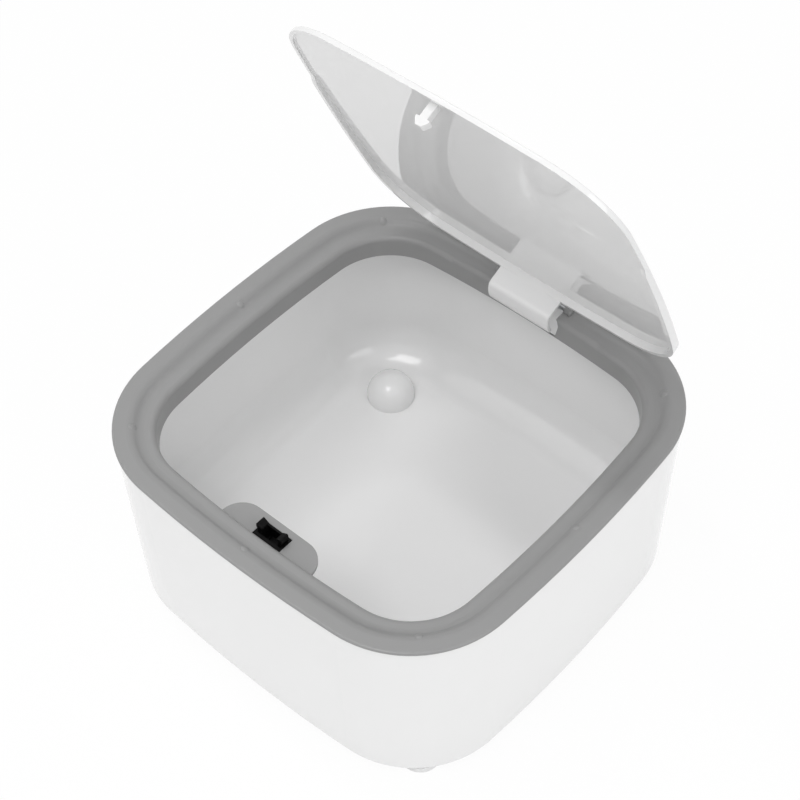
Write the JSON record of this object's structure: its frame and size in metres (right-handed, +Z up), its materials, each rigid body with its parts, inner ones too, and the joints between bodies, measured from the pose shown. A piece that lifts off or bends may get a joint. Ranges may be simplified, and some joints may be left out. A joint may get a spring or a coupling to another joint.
{
  "type": "countertop trash can",
  "caption": "Square countertop bin with rounded corners, lift-off grey collar, push latch and a sprung lid that swings up on a rear hinge.",
  "frame": {"origin": "on the surface it stands on, under the middle of the bin", "axes": "+Z up, -Y towards the latch at the front, +Y towards the hinge, +X to the right as seen from the front"},
  "size_m": [0.17, 0.17, 0.2161],
  "materials": {
    "body_white": "glossy moulded",
    "foot_white": "matt",
    "collar_grey": "satin moulded",
    "lid_white": "polished",
    "latch_black": "satin moulded",
    "pin_steel": "drawn",
    "spring_steel": "drawn wire"
  },
  "bodies": {
    "bin": {"bin_body": "body_white", "foot_front_left": "foot_white", "foot_front_right": "foot_white", "foot_back_left": "foot_white", "foot_back_right": "foot_white"},
    "collar": {"collar_ring": "collar_grey", "hinge_pin": "pin_steel", "lid_spring": "spring_steel", "latch_housing": "latch_black", "latch_spring": "spring_steel"},
    "lid": {"lid_shell": "lid_white", "hinge_arm": "lid_white", "striker": "lid_white"},
    "slider": {"latch_slider": "latch_black"},
    "jaw_left": {"latch_jaw_left": "latch_black"},
    "jaw_right": {"latch_jaw_right": "latch_black"},
    "cam": {"latch_cam_pin": "spring_steel"}
  },
  "joints": [
    {"name": "collar_lift", "type": "slide", "parent": "bin", "child": "collar", "axis": [0, 0, 1], "range_m": [0, 0.02]},
    {"name": "lid_hinge", "type": "hinge", "parent": "collar", "child": "lid", "pos_m": [0, 0.0759, 0.0812], "axis": [1, 0, 0], "range_deg": [0, 66.3], "stiffness_Nm_per_rad": 0.02, "springref_deg": -68.75},
    {"name": "latch_slide", "type": "slide", "parent": "collar", "child": "slider", "axis": [0, 0, -1], "range_m": [0, 0.002], "stiffness_N_per_m": 150, "springref_m": -0.004, "deforming": ["latch_spring"]},
    {"name": "jaw_left_hinge", "type": "hinge", "parent": "slider", "child": "jaw_left", "pos_m": [-0.00358, -0.065, 0.071], "axis": [0, 1, 0], "range_deg": [0, 10]},
    {"name": "jaw_right_hinge", "type": "hinge", "parent": "slider", "child": "jaw_right", "pos_m": [0.00358, -0.065, 0.071], "axis": [0, -1, 0], "range_deg": [0, 10]},
    {"name": "cam_hinge", "type": "hinge", "parent": "collar", "child": "cam", "pos_m": [0, -0.0675, 0.0569], "axis": [0, 1, 0], "range_deg": [0, 8]}
  ],
  "couplings": [
    {"joint": "jaw_left_hinge", "follows": "latch_slide", "rad_per_m": 87.2},
    {"joint": "jaw_right_hinge", "follows": "latch_slide", "rad_per_m": 87.2},
    {"joint": "cam_hinge", "follows": "latch_slide", "rad_per_m": 69.8}
  ]
}
